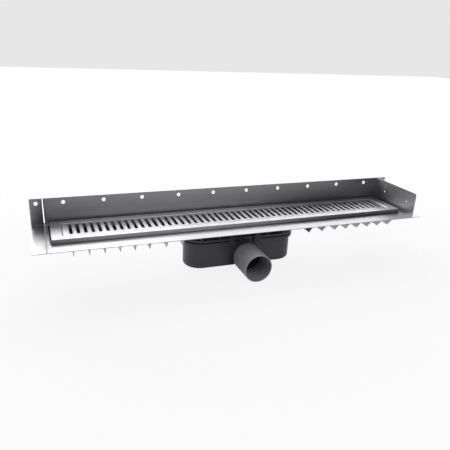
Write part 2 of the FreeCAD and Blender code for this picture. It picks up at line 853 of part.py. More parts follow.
def make_clamp_collar():
    """Moulded ring that carries the trap under the pan."""
    body = new_body("clamp_collar")
    hole = GAUGE + dim("neck_clearance")
    inset = dim("collar_neck_inset")
    over = dim("rim_overhang")
    layers = (
        ("collar_flange_ring", FLANGE_UNDER, dim("collar_flange"), over),
        ("collar_neck_ring", FLANGE_TOP, dim("collar_neck_height"), -inset),
        ("collar_skirt_ring", SKIRT_UNDER, dim("collar_skirt"), SEAL_GROW),
    )
    for name, level, height, grow in layers:
        ring = new_sketch(body, name, "XY_Plane", level)
        add_stadium(ring, TRAP_HALF + grow, TRAP_SIDE + grow)
        add_stadium(ring, OUTLET_HALF + hole, OUTLET_SIDE + hole)
        pad(body, ring, height)
    screw_holes = new_sketch(body, "collar_pan_holes", "XY_Plane", COLLAR_TOP)
    for x, y in pan_screw_places():
        add_circle(screw_holes, x, y, dim("pan_screw"))
    pocket(body, screw_holes, dim("collar_neck_height") + dim("collar_flange"))
    flange_holes = new_sketch(body, "collar_flange_holes", "XY_Plane", FLANGE_TOP)
    for x, y in flange_screw_places():
        add_circle(flange_holes, x, y, dim("flange_screw"))
    pocket(body, flange_holes, dim("collar_flange") + dim("collar_skirt"))
    cut_recess(body, "collar_recess", FLANGE_TOP, dim("collar_flange"))
    return body


def make_body_seal():
    """Seal between the collar and the housing."""
    body = new_body("body_seal")
    ring = new_sketch(body, "seal_ring", "XY_Plane", RIM_TOP)
    add_stadium(ring, TRAP_HALF + SEAL_GROW, TRAP_SIDE + SEAL_GROW)
    land = dim("rim_land")
    add_stadium(ring, TRAP_HALF - land, TRAP_SIDE - land)
    for x, y in flange_screw_places():
        add_circle(ring, x, y, dim("flange_screw"))
    pad(body, ring, dim("body_seal_gauge"))
    return body


def make_screws(label, places, top, diameter, length, head, head_height):
    """Pan-head screws that point down, with their heads on the given level."""
    body = new_body(label)
    heads = new_sketch(body, label + "_heads", "XY_Plane", top)
    shanks = new_sketch(body, label + "_shanks", "XY_Plane", top - length)
    for x, y in places:
        add_circle(heads, x, y, head)
        add_circle(shanks, x, y, diameter)
    pad(body, heads, head_height)
    pad(body, shanks, length)
    return body


def make_collar_clips():
    """Two ribbed clips that hook over the collar and under the housing's rim."""
    body = new_body("collar_clips")
    play = dim("clip_play")
    back = RIM_FRONT - play
    face = back - dim("clip_gauge")
    top = FLANGE_TOP + dim("clip_rise")
    bottom = RIM_UNDER - dim("clip_drop")
    over = FLANGE_TOP + play
    under = RIM_UNDER - play
    hook_back = back + dim("clip_hook")
    low_back = back + dim("clip_low_hook")
    hook_gauge = dim("clip_hook_gauge")
    rib_half = dim("clip_rib_width") / 2
    first_rib = -dim("clip_rib_pitch") * (dim("clip_rib_count") - 1) / 2
    for name, side in (("left", -1), ("right", 1)):
        middle = dim("clip_place") * side
        profile = new_sketch(
            body, name + "_clip", "YZ_Plane", middle - dim("clip_width") / 2)
        add_loop(profile, [
            (face, bottom), (back, bottom),
            (back, under - hook_gauge), (low_back, under - hook_gauge),
            (low_back, under), (back, under),
            (back, over), (hook_back, over),
            (hook_back, over + hook_gauge), (back, over + hook_gauge),
            (back, top), (face, top),
        ])
        pad(body, profile, dim("clip_width"))
        rib_middle = middle + first_rib
        rib = new_sketch(body, name + "_rib", "XZ_Plane", -face)
        add_rectangle(rib, rib_middle - rib_half, rib_middle + rib_half, bottom, top)
        first = pad(body, rib, dim("clip_rib_height"))
        pattern(
            body, name + "_ribs", [first], "X_Axis",
            dim("clip_rib_pitch"), dim("clip_rib_count"))
    return body


# ---------------------------------------------------------------- trap


def make_trap_housing():
    """Moulded trap body with its rim, outlet stub, weir and two feet."""
    body = new_body("trap_housing")
    wall = dim("trap_wall")
    over = dim("rim_overhang")
    land = dim("rim_land")
    shell = new_sketch(body, "housing_outline", "XY_Plane", TRAP_BOTTOM)
    add_stadium(shell, TRAP_HALF, TRAP_SIDE)
    block = pad(body, shell, RIM_UNDER - TRAP_BOTTOM)
    dress(
        body, "Fillet", block,
        lambda box: near(box.ZMax, TRAP_BOTTOM), "Radius", dim("trap_bottom_radius"))
    rim = new_sketch(body, "housing_rim", "XY_Plane", RIM_UNDER)
    add_stadium(rim, TRAP_HALF + over, TRAP_SIDE + over)
    pad(body, rim, dim("rim_gauge"))
    stub = new_sketch(body, "stub_circle", "XZ_Plane", -TRAP_FRONT_INNER)
    add_circle(stub, 0, OUTLET_LEVEL, dim("stub_diameter"))
    reach = dim("stub_reach") + TRAP_FRONT_INNER
    pad(body, stub, reach)
    rim_hollow = new_sketch(body, "rim_hollow", "XY_Plane", RIM_TOP)
    add_stadium(rim_hollow, TRAP_HALF - land, TRAP_SIDE - land)
    pocket(body, rim_hollow, dim("rim_gauge"))
    hollow = new_sketch(body, "housing_hollow", "XY_Plane", RIM_UNDER)
    add_stadium(hollow, TRAP_HALF - wall, TRAP_SIDE - wall)
    hollowed = pocket(body, hollow, RIM_UNDER - TRAP_BOTTOM - wall)
    dress(
        body, "Fillet", hollowed,
        lambda box: near(box.ZMax, TRAP_BOTTOM + wall), "Radius", dim("trap_bottom_radius") - wall)
    bore = new_sketch(body, "stub_bore_circle", "XZ_Plane", dim("stub_reach"))
    add_circle(bore, 0, OUTLET_LEVEL, dim("stub_bore"))
    pocket(body, bore, reach)

    weir = new_sketch(body, "weir", "XY_Plane", TRAP_BOTTOM + wall)
    half = dim("weir_width") / 2
    thin = dim("weir_wall")
    back = TRAP_FRONT_INNER + dim("weir_reach")
    front = TRAP_FRONT + wall / 2
    add_loop(weir, [
        (-half, front), (thin - half, front),
        (thin - half, back - thin), (half - thin, back - thin),
        (half - thin, front), (half, front),
        (half, back), (-half, back),
    ])
    pad(body, weir, dim("weir_height"))
    holes = new_sketch(body, "rim_screw_holes", "XY_Plane", RIM_TOP)
    for x, y in flange_screw_places():
        add_circle(holes, x, y, dim("flange_screw"))
    pocket(body, holes, dim("rim_gauge"))
    cut_recess(body, "rim_recess", RIM_TOP, dim("rim_gauge"))
    feet = new_sketch(body, "housing_feet", "XY_Plane", FLOOR)
    foot_half = dim("trap_foot_width") / 2
    foot_reach = dim("trap_foot_length") / 2
    for x in (-dim("trap_foot_place"), dim("trap_foot_place")):
        add_rectangle(
            feet, x - foot_half, x + foot_half, CENTRE_Y - foot_reach, CENTRE_Y + foot_reach)
    pad(body, feet, dim("trap_foot_height"))
    return body


def make_outlet_adapter():
    """Wide outlet pipe pushed over the stub of the trap."""
    body = new_body("outlet_adapter")
    back = dim("adapter_back")
    mouth = dim("adapter_reach")
    outside = new_sketch(body, "adapter_outside", "XZ_Plane", back)
    add_circle(outside, 0, OUTLET_LEVEL, dim("adapter_diameter"))
    pipe = pad(body, outside, mouth - back)
    dress(
        body, "Chamfer", pipe,
        lambda box: near(box.YMax, -mouth), "Size", dim("adapter_chamfer"))
    bore = new_sketch(body, "adapter_bore_circle", "XZ_Plane", mouth)
    add_circle(bore, 0, OUTLET_LEVEL, dim("adapter_bore"))
    pocket(body, bore, mouth - back - dim("adapter_shoulder"))
    socket = new_sketch(body, "adapter_socket", "XZ_Plane", mouth)
    add_circle(socket, 0, OUTLET_LEVEL, dim("stub_diameter") + dim("adapter_play") * 2)
    pocket(body, socket, mouth - back)
    return body


def make_adapter_seal():
    """Rubber ring round the end of the stub, inside the adapter."""
    body = new_body("adapter_seal")
    ring = new_sketch(
        body, "adapter_seal_ring", "XZ_Plane", dim("adapter_back") + dim("adapter_shoulder"))
    add_circle(ring, 0, OUTLET_LEVEL, dim("adapter_bore"))
    add_circle(ring, 0, OUTLET_LEVEL, dim("stub_diameter"))
    pad(body, ring, dim("adapter_seal_gauge"))
    return body


PAN_FLOOR_LEVEL = -dim("pan_mid_depth")
INSERT_OUTER_HALF = OUTLET_HALF - dim("insert_clearance")
INSERT_OUTER_SIDE = OUTLET_SIDE - dim("insert_clearance")
INSERT_INNER_HALF = INSERT_OUTER_HALF - dim("insert_wall")
INSERT_INNER_SIDE = INSERT_OUTER_SIDE - dim("insert_wall")
INSERT_TOP = PAN_FLOOR_LEVEL + dim("insert_flange_gauge")
INSERT_FLOOR_TOP = INSERT_TOP - dim("insert_depth")
INSERT_FLOOR_UNDER = INSERT_FLOOR_TOP - dim("insert_floor")


def add_dip_outline(sketch, grow):
    """Outline of the dip tube, towards the wall side of the trap."""
    half = dim("dip_length") / 2 + grow
    side = dim("dip_width") / 2 + grow
    middle = CENTRE_Y + dim("dip_shift")
    add_smooth_loop(sketch, [(side - half, middle), (half - side, middle)], side)


def make_trap_insert():
    """Removable insert: flanged dish with the dip tube that makes the water seal."""
    body = new_body("trap_insert")
    land = dim("insert_land")
    wall = dim("insert_wall")
    flange = new_sketch(body, "insert_flange", "XY_Plane", PAN_FLOOR_LEVEL)
    add_stadium(flange, OUTLET_HALF + land, OUTLET_SIDE + land)
    pad(body, flange, dim("insert_flange_gauge"))
    dish = new_sketch(body, "insert_dish", "XY_Plane", INSERT_FLOOR_UNDER)
    add_stadium(dish, INSERT_OUTER_HALF, INSERT_OUTER_SIDE)
    pad(body, dish, PAN_FLOOR_LEVEL - INSERT_FLOOR_UNDER)
    tube = new_sketch(body, "dip_tube", "XY_Plane", INSERT_FLOOR_UNDER - dim("dip_depth"))
    add_dip_outline(tube, as_size(0))
    pad(body, tube, dim("dip_depth"))
    bowl = new_sketch(body, "insert_bowl", "XY_Plane", INSERT_TOP)
    add_stadium(bowl, INSERT_INNER_HALF, INSERT_INNER_SIDE)
    pocket(body, bowl, dim("insert_depth"))
    bore = new_sketch(body, "dip_bore", "XY_Plane", INSERT_FLOOR_TOP)
    add_dip_outline(bore, -wall)
    pocket(body, bore, dim("insert_floor") + dim("dip_depth"))
    return body


def make_insert_seal():
    """Rubber ring between the insert and the outlet neck."""
    body = new_body("insert_seal")
    ring = new_sketch(body, "insert_seal_ring", "XY_Plane", INSERT_FLOOR_UNDER)
    add_stadium(ring, OUTLET_HALF, OUTLET_SIDE)
    add_stadium(ring, INSERT_OUTER_HALF, INSERT_OUTER_SIDE)
    pad(body, ring, dim("insert_seal_gauge"))
    return body


STRAINER_UNDER = INSERT_FLOOR_TOP + dim("strainer_leg_height")
STRAINER_TOP = STRAINER_UNDER + dim("strainer_gauge")


def make_hair_strainer():
    """Perforated plate on short legs, laid in the insert."""
    body = new_body("hair_strainer")
    half = INSERT_INNER_HALF - dim("strainer_gap")
    side = INSERT_INNER_SIDE - dim("strainer_gap")
    plate = new_sketch(body, "strainer_plate", "XY_Plane", STRAINER_UNDER)
    add_stadium(plate, half, side)
    pad(body, plate, dim("strainer_gauge"))
    holes = new_sketch(body, "strainer_holes", "XY_Plane", STRAINER_TOP)
    pitch = dim("strainer_pitch")
    first = -pitch * (dim("strainer_columns") - 1) / 2
    for row in range(int(dim("strainer_rows").number)):
        shift = pitch * (row - (int(dim("strainer_rows").number) - 1) / 2)
        add_circle(holes, first, CENTRE_Y + shift, dim("strainer_hole"))
    column = pocket(body, holes, dim("strainer_gauge"))
    pattern(body, "strainer_grid", [column], "X_Axis", pitch, dim("strainer_columns"))
    legs = new_sketch(body, "strainer_legs", "XY_Plane", INSERT_FLOOR_TOP)
    for x in (-(half - side), half - side):
        for y in (CENTRE_Y - side + dim("strainer_leg"), CENTRE_Y + side - dim("strainer_leg")):
            add_circle(legs, x, y, dim("strainer_leg"))
    pad(body, legs, dim("strainer_leg_height"))
    return body


def make_strainer_knob():
    """Knob on the strainer, to lift it out."""
    body = new_body("strainer_knob")
    stem = new_sketch(body, "knob_stem_circle", "XY_Plane", STRAINER_TOP)
    add_circle(stem, 0, CENTRE_Y + dim("strainer_pitch") / 2, dim("knob_stem"))
    pad(body, stem, dim("knob_stem_height"))
    head = new_sketch(body, "knob_head", "XY_Plane", STRAINER_TOP + dim("knob_stem_height"))
    add_circle(head, 0, CENTRE_Y + dim("strainer_pitch") / 2, dim("knob_diameter"))
    pad(body, head, dim("knob_height"))
    return body


# ---------------------------------------------------------------- assembly

sub_parts = [
    make_tray_body(),
    make_end_wall("end_wall_left", 1),
    make_end_wall("end_wall_right", -1),
    make_trough_pan(),
    make_outlet_neck(),
    make_anchor_plates(),
    make_tile_frame(),
    make_frame_brackets(),
    make_levelling_screws(),
    make_lock_nuts(),
    make_screw_feet(),
    make_grate(),
    make_grate_pads(),
    make_pan_gasket(),
    make_clamp_collar(),
    make_body_seal(),
    make_screws(
        "pan_screws", pan_screw_places(), PAN_FLOOR_LEVEL, dim("pan_screw"),
        dim("pan_screw_length"), dim("pan_screw_head"), dim("pan_screw_head_height")),
    make_screws(
        "flange_screws", flange_screw_places(), FLANGE_TOP, dim("flange_screw"),
        dim("flange_screw_length"), dim("flange_screw_head"), dim("flange_screw_head_height")),
    make_collar_clips(),
    make_trap_housing(),
    make_outlet_adapter(),
    make_adapter_seal(),
    make_trap_insert(),
    make_insert_seal(),
    make_hair_strainer(),
    make_strainer_knob(),
]
doc.recompute()

for item in doc.Objects:
    if "Invalid" in item.State or "Error" in item.State:
        raise RuntimeError("%s failed: %s" % (item.Name, item.State))
for body in sub_parts:
    if body.Shape.isNull() or not body.Shape.isValid():
        raise RuntimeError("%s has no valid shape" % body.Label)

os.makedirs(PARTS_FOLDER, exist_ok=True)
for body in sub_parts:
    body.Shape.exportStep(os.path.join(PARTS_FOLDER, body.Label + ".step"))
    print("%-18s solids %2d volume %10.1f" % (
        body.Label, len(body.Shape.Solids), body.Shape.Volume))
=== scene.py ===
import math

import bmesh
import bpy
from mathutils import Matrix, Vector


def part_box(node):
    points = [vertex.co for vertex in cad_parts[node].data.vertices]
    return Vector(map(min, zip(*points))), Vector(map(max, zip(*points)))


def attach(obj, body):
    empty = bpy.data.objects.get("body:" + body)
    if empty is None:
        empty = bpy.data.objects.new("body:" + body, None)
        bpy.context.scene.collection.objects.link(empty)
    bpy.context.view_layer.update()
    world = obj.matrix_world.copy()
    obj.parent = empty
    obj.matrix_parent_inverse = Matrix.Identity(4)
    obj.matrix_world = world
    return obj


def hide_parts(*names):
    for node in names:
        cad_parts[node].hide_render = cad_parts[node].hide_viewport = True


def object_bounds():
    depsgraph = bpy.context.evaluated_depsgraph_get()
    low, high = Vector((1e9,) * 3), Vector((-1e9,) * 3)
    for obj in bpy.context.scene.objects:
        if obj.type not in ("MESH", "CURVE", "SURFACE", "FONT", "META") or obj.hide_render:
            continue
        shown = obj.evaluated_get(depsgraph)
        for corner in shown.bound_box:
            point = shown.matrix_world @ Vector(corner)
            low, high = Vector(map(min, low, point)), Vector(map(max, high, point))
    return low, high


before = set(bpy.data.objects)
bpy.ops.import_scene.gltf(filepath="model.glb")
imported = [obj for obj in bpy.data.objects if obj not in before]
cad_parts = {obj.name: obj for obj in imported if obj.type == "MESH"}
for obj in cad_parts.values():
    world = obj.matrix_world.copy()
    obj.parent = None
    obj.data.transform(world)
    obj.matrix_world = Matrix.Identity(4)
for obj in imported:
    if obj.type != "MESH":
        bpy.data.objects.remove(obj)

cad_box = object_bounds()
MM = 0.001

# ---------------------------------------------------------------- colours and nodes

# the mix node's colour sockets share their names, so they go by number
MIX_FROM, MIX_TO, MIX_RESULT = 6, 7, 2


def linear(code):
    """A hex sRGB colour as linear RGBA."""
    channels = [int(code[i:i + 2], 16) / 255 for i in (1, 3, 5)]
    return [c / 12.92 if c <= 0.04045 else ((c + 0.055) / 1.055) ** 2.4 for c in channels] + [1]


def add(tree, kind, links=None, values=None, **settings):
    """Adds one node: settings name its sockets or properties, values and links go by socket."""
    node = tree.nodes.new(kind)
    for name, value in settings.items():
        if hasattr(node, name):
            setattr(node, name, value)
        else:
            node.inputs[name.replace("_", " ")].default_value = value
    for socket, value in (values or {}).items():
        node.inputs[socket].default_value = value
    for socket, source in (links or {}).items():
        tree.links.new(source, node.inputs[socket])
    return node


def new_material(name):
    """An empty material and its node tree."""
    material = bpy.data.materials.new(name)
    material.use_nodes = True
    material.node_tree.nodes.clear()
    return material, material.node_tree


def stretched_noise(tree, width, length, run, detail):
    """Blotches or streaks of the given width across and length along the axis named run."""
    place = add(tree, "ShaderNodeTexCoord")
    stretch = [1 / (length if axis == run else width) for axis in "XYZ"]
    mapping = add(tree, "ShaderNodeMapping", {"Vector": place.outputs["Object"]}, Scale=stretch)
    return add(tree, "ShaderNodeTexNoise", {"Vector": mapping.outputs[0]},
               Scale=1.0, Detail=detail)


# ---------------------------------------------------------------- steel

# the belt's scratches are about 0.1 mm wide; they are drawn coarser, so that they show
SCRATCH_LENGTH = 120 * MM
SCRATCH_RELIEF = 0.35
ROLLING_WIDTH, ROLLING_LENGTH = 30 * MM, 90 * MM
SCRATCH_ROUGHNESS = 0.12
ROLLING_ROUGHNESS = 0.03
BRUSHED_SMEAR = 0.6


def brushed_stainless(name, colour_low, colour_high, run, roughness, scratch, depth):
    """Stainless sheet, belt-brushed along one axis: fine streaks that smear its gloss across."""
    material, tree = new_material(name)
    streaks = stretched_noise(tree, scratch, SCRATCH_LENGTH, run, detail=4.0)
    clouds = stretched_noise(tree, ROLLING_WIDTH, ROLLING_LENGTH, run, detail=2.0)
    tone = add(tree, "ShaderNodeMix", {"Factor": streaks.outputs["Fac"]},
               {MIX_FROM: linear(colour_low), MIX_TO: linear(colour_high)}, data_type="RGBA")
    spread = add(tree, "ShaderNodeMapRange", {"Value": streaks.outputs["Fac"]},
                 To_Min=roughness * (1 - SCRATCH_ROUGHNESS),
                 To_Max=roughness * (1 + SCRATCH_ROUGHNESS))
    drift = add(tree, "ShaderNodeMapRange", {"Value": clouds.outputs["Fac"]},
                To_Min=-ROLLING_ROUGHNESS, To_Max=ROLLING_ROUGHNESS)
    rough = add(tree, "ShaderNodeMath", {0: spread.outputs[0], 1: drift.outputs[0]},
                operation="ADD")
    bump = add(tree, "ShaderNodeBump", {"Height": streaks.outputs["Fac"]},
               Strength=SCRATCH_RELIEF, Distance=depth)
    across = add(tree, "ShaderNodeTangent", direction_type="RADIAL", axis=run)
    shader = add(tree, "ShaderNodeBsdfPrincipled", {
        "Base Color": tone.outputs[MIX_RESULT], "Roughness": rough.outputs[0],
        "Normal": bump.outputs[0], "Tangent": across.outputs[0],
    }, Metallic=1.0, Anisotropic=BRUSHED_SMEAR)
    add(tree, "ShaderNodeOutputMaterial", {"Surface": shader.outputs[0]})
    return material


ZINC_CRYSTAL = 1.5 * MM
ZINC_SMOOTHEST, ZINC_ROUGHEST = 0.25, 0.38


def zinc_plated(name):
    """Bright zinc-plated steel: slightly blue, with a soft satin gloss."""
    material, tree = new_material(name)
    clouds = stretched_noise(tree, ZINC_CRYSTAL, ZINC_CRYSTAL, "X", detail=3.0)
    tone = add(tree, "ShaderNodeMix", {"Factor": clouds.outputs["Fac"]},
               {MIX_FROM: linear("#A9ADB2"), MIX_TO: linear("#C3C6CA")}, data_type="RGBA")
    rough = add(tree, "ShaderNodeMapRange", {"Value": clouds.outputs["Fac"]},
                To_Min=ZINC_SMOOTHEST, To_Max=ZINC_ROUGHEST)
    shader = add(tree, "ShaderNodeBsdfPrincipled", {
        "Base Color": tone.outputs[MIX_RESULT], "Roughness": rough.outputs[0]}, Metallic=1.0)
    add(tree, "ShaderNodeOutputMaterial", {"Surface": shader.outputs[0]})
    return material


# 1.5 mm stainless sheet, belt-brushed along the channel: long faint streaks, and a highlight
# that is drawn out across them, so that the tone changes sharply at a fold
tray_along = brushed_stainless(
    "brushed_stainless_tray", "#A9A8AC", "#B6B5B9", "X", 0.36, 0.8 * MM, 0.02 * MM)
# the same sheet, brushed across the channel: the end walls take on the tone of what is beside them
tray_across = brushed_stainless(
    "brushed_stainless_ends", "#A9A8AC", "#B6B5B9", "Y", 0.36, 0.8 * MM, 0.02 * MM)
# the cover that people see and walk on is brushed finer: paler bars between the dark slots
cover_steel = brushed_stainless(
    "fine_brushed_stainless", "#B4B3B7", "#C4C3C7", "X", 0.33, 0.6 * MM, 0.015 * MM)
# bright zinc-plated fasteners: a bluish, uneven satin that sets them off from the stainless
zinc = zinc_plated("zinc_plated_steel")

# ---------------------------------------------------------------- plastic and rubber

RESIN_CLOUD = 25 * MM
GRAIN_RELIEF = 0.3
PLASTIC_ROUGHNESS = 0.05
POLYPROPYLENE_IOR = 1.49
ABS_IOR = 1.54
RUBBER_IOR = 1.52


def moulded(name, dark, light, roughness, grain, depth, ior):
    """Injection-moulded plastic or rubber: fine spark-eroded grain and faint cloudy shade."""
    material, tree = new_material(name)
    texture = stretched_noise(tree, grain, grain, "X", detail=2.0)
    clouds = stretched_noise(tree, RESIN_CLOUD, RESIN_CLOUD, "X", detail=3.0)
    tone = add(tree, "ShaderNodeMix", {"Factor": clouds.outputs["Fac"]},
               {MIX_FROM: linear(dark), MIX_TO: linear(light)}, data_type="RGBA")
    rough = add(tree, "ShaderNodeMapRange", {"Value": clouds.outputs["Fac"]},
                To_Min=roughness - PLASTIC_ROUGHNESS, To_Max=roughness + PLASTIC_ROUGHNESS)
    bump = add(tree, "ShaderNodeBump", {"Height": texture.outputs["Fac"]},
               Strength=GRAIN_RELIEF, Distance=depth)
    shader = add(tree, "ShaderNodeBsdfPrincipled", {
        "Base Color": tone.outputs[MIX_RESULT], "Roughness": rough.outputs[0],
        "Normal": bump.outputs[0],
    }, IOR=ior)
    add(tree, "ShaderNodeOutputMaterial", {"Surface": shader.outputs[0]})
    return material


# moulded polypropylene, coloured charcoal: a satin skin, paler where an edge turns to the light
trap_black = moulded(
    "moulded_polypropylene_black", "#595761", "#65636D", 0.33, 0.7 * MM, 0.05 * MM,
    POLYPROPYLENE_IOR)
# moulded polypropylene in waste-pipe grey: smoother than the trap, with a soft long highlight
pipe_grey = moulded(
    "moulded_polypropylene_grey", "#A7A5AC", "#B1AFB6", 0.32, 0.7 * MM, 0.04 * MM,
    POLYPROPYLENE_IOR)
# moulded ABS, mid grey: a fine grain that keeps the insert dull under the grate
insert_grey = moulded(
    "moulded_abs_grey", "#4C4C50", "#55555A", 0.4, 0.7 * MM, 0.05 * MM, ABS_IOR)
# moulded rubber, near black and matt: a dark line wherever two parts are sealed
rubber = moulded(
    "moulded_rubber_black", "#1B1B1C", "#222223", 0.7, 0.5 * MM, 0.05 * MM, RUBBER_IOR)

FINISHES = {
    "tray_body": tray_along, "trough_pan": tray_along, "outlet_neck": tray_along,
    "anchor_plates": tray_across, "end_wall_left": tray_across, "end_wall_right": tray_across,
    "tile_frame": cover_steel, "grate": cover_steel, "hair_strainer": cover_steel,
    "frame_brackets": tray_along,
    "clamp_collar": trap_black, "collar_clips": trap_black, "trap_housing": trap_black,
    "outlet_adapter": pipe_grey,
    "trap_insert": insert_grey,
    "screw_feet": rubber, "grate_pads": rubber, "pan_gasket": rubber, "body_seal": rubber,
    "insert_seal": rubber, "adapter_seal": rubber,
}
for node_name, finish in FINISHES.items():
    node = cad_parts[node_name]
    node.data.materials.clear()
    node.data.materials.append(finish)

# ---------------------------------------------------------------- edges

# radius in mm of each node's broken or moulded edges
EDGE_ROUND = {
    "tray_body": 0.3, "end_wall_left": 0.3, "end_wall_right": 0.3, "trough_pan": 0.3,
    "anchor_plates": 0.2, "tile_frame": 0.3, "grate": 0.35, "frame_brackets": 0.3,
    "clamp_collar": 0.8, "collar_clips": 0.5, "trap_housing": 0.7, "outlet_adapter": 0.5,
    "trap_insert": 0.4, "hair_strainer": 0.15,
}
EDGE_STEPS = 2
SHARPEST_CURVE = math.radians(35)

for node_name, radius in EDGE_ROUND.items():
    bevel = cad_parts[node_name].modifiers.new("edge_round", "BEVEL")
    bevel.width = radius * MM
    bevel.segments = EDGE_STEPS
    bevel.limit_method = "ANGLE"
    bevel.angle_limit = SHARPEST_CURVE
    bevel.harden_normals = True

# ---------------------------------------------------------------- shared shapes

SAME_SPOT_DECIMALS = 6


def solids_of(node_name):
    """Lowest and highest corner of every separate solid of a CAD node."""
    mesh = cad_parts[node_name].data
    spots = [
        tuple(round(value, SAME_SPOT_DECIMALS) for value in vertex.co)
        for vertex in mesh.vertices]
    leader = {spot: spot for spot in spots}

    def lead(spot):
        while leader[spot] != spot:
            leader[spot] = leader[leader[spot]]
            spot = leader[spot]
        return spot

    for edge in mesh.edges:
        first, second = (lead(spots[index]) for index in edge.vertices)
        leader[first] = second
    groups = {}
    for spot in leader:
        groups.setdefault(lead(spot), []).append(spot)
    boxes = []
    for group in groups.values():
        low = Vector([min(spot[axis] for spot in group) for axis in range(3)])
        high = Vector([max(spot[axis] for spot in group) for axis in range(3)])
        boxes.append((low, high))
    return sorted(boxes, key=lambda corners: tuple(corners[0]))


def middle_of(corners):
    """Plan middle of a box."""
    low, high = corners
    return ((low.x + high.x) / 2, (low.y + high.y) / 2)


def skin(shape, rings, closed=False):
    """Joins rings of points with quads; closed joins the last ring to the first."""
    made = [[shape.verts.new(point) for point in ring] for ring in rings]
    count = len(made[0])
    pairs = list(zip(made, made[1:]))
    if closed:
        pairs.append((made[-1], made[0]))
    for lower, upper in pairs:
        for index in range(count):
            after = (index + 1) % count
            shape.faces.new((lower[index], lower[after], upper[after], upper[index]))
    if not closed:
        shape.faces.new(list(reversed(made[0])))
        shape.faces.new(made[-1])


def ring_of(centre, radius, height, sides, wave=0.0, waves=0):
    """A level ring of points, with its radius waved round it if asked."""
    points = []
    for index in range(sides):
        angle = 2 * math.pi * index / sides
        reach = radius * (1 + wave * math.cos(waves * angle))
        points.append((
            centre[0] + reach * math.cos(angle), centre[1] + reach * math.sin(angle), height))
    return points


def hand_over(shape, name, finish, replaced, sharp_from=35):
    """Makes a piece of the drawn shape that stands for the named CAD node."""
    bmesh.ops.recalc_face_normals(shape, faces=shape.faces)
    mesh = bpy.data.meshes.new(name)
    shape.to_mesh(mesh)
    shape.free()
    mesh.materials.append(finish)
    mesh.shade_smooth()
    mesh.set_sharp_from_angle(angle=math.radians(sharp_from))
    piece = bpy.data.objects.new(name, mesh)
    bpy.context.collection.objects.link(piece)
    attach(piece, "root")
    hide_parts(replaced)
    return piece


def carve(piece, cutters):
    """Cuts the drawn cutters out of a piece and keeps the result as its mesh."""
    bmesh.ops.recalc_face_normals(cutters, faces=cutters.faces)
    tool_mesh = bpy.data.meshes.new("cutter")
    cutters.to_mesh(tool_mesh)
    cutters.free()
    tool = bpy.data.objects.new("cutter", tool_mesh)
    bpy.context.collection.objects.link(tool)
    cut = piece.modifiers.new("cut", "BOOLEAN")
    cut.object = tool
    cut.operation = "DIFFERENCE"
    cut.solver = "EXACT"
    graph = bpy.context.evaluated_depsgraph_get()
    result = bpy.data.meshes.new_from_object(piece.evaluated_get(graph))
    piece.modifiers.clear()
    piece.data = result
    bpy.data.objects.remove(tool)


# ---------------------------------------------------------------- screws

THREAD_STEPS = 6
THREAD_SIDES = 24
# shares of the pitch: how deep a thread is cut, and how deep the ends are chamfered below that
THREAD_DEPTH = 0.55
END_CHAMFER = 1.2


def thread_rings(centre, radius, pitch, low, high):
    """Rings of a rod with a screw thread and a chamfer at both ends."""
    count = max(2, round((high - low) / pitch * THREAD_STEPS))
    depth = pitch * THREAD_DEPTH
    rings = []
    for step in range(count + 1):
        height = low + (high - low) * step / count
        end_gap = min(height - low, high - height)
        ring = []
        for index in range(THREAD_SIDES):
            phase = (height / pitch - index / THREAD_SIDES) % 1
            reach = radius - depth * (1 - abs(2 * phase - 1))
            reach = min(reach, radius - depth * END_CHAMFER + end_gap)
            angle = 2 * math.pi * index / THREAD_SIDES
            ring.append((
                centre[0] + reach * math.cos(angle), centre[1] + reach * math.sin(angle), height))
        rings.append(ring)
    return rings


# shares of the cross's reach: half an arm's width, and the whole cross at its foot and mouth
CROSS_HALF_ARM = 0.2
CROSS_FOOT = 0.45
CROSS_MOUTH = 1.35


def cross_recess(shape, centre, top, reach, depth):
    """Cutter for a driver's cross in a screw head, tapering downwards."""
    half = reach * CROSS_HALF_ARM
    outline = [
        (reach, -half), (reach, half), (half, half), (half, reach), (-half, reach), (-half, half),
        (-reach, half), (-reach, -half), (-half, -half), (-half, -reach), (half, -reach),
        (half, -half),
    ]
    rings = []
    for level, share in ((top - depth, CROSS_FOOT), (top + depth, CROSS_MOUTH)):
        rings.append([
            (centre[0] + x * share, centre[1] + y * share, level) for x, y in outline])
    skin(shape, rings)


SCREW_RADIUS = 2.0 * MM
SCREW_PITCH = 0.7 * MM
HEAD_RADIUS = 3.5 * MM
PAN_HEAD_HEIGHT = 2.2 * MM
FLANGE_HEAD_HEIGHT = 2.6 * MM
UNCUT_NECK = 0.5 * MM
# the head's side from its seat up: shares of its radius and of its height
HEAD_SIDE = ((0.97, 0), (1, 0.12), (1, 0.42), (0.95, 0.66), (0.84, 0.84), (0.66, 0.95))
HEAD_CROWN = 0.4
CROSS_REACH = 0.52
CROSS_DEPTH = 0.62


def pan_head_screws(node_name, name, head_height):
    """Pan-head screws with a driver's cross and a threaded shank."""
    shape = bmesh.new()
    crosses = bmesh.new()
    for corners in solids_of(node_name):
        centre = middle_of(corners)
        low, top = corners[0].z, corners[1].z
        seat = top - head_height
        neck = seat - UNCUT_NECK
        root = SCREW_RADIUS - SCREW_PITCH * THREAD_DEPTH
        profile = [(root, neck), (root, seat)]
        profile += [(HEAD_RADIUS * out, seat + up * head_height) for out, up in HEAD_SIDE]
        profile.append((HEAD_RADIUS * HEAD_CROWN, top))
        rings = thread_rings(centre, SCREW_RADIUS, SCREW_PITCH, low, neck)
        rings += [ring_of(centre, reach, height, THREAD_SIDES) for reach, height in profile]
        skin(shape, rings)
        cross_recess(
            crosses, centre, top, HEAD_RADIUS * CROSS_REACH, head_height * CROSS_DEPTH)
    carve(hand_over(shape, name, zinc, node_name), crosses)


# ---------------------------------------------------------------- levelling gear

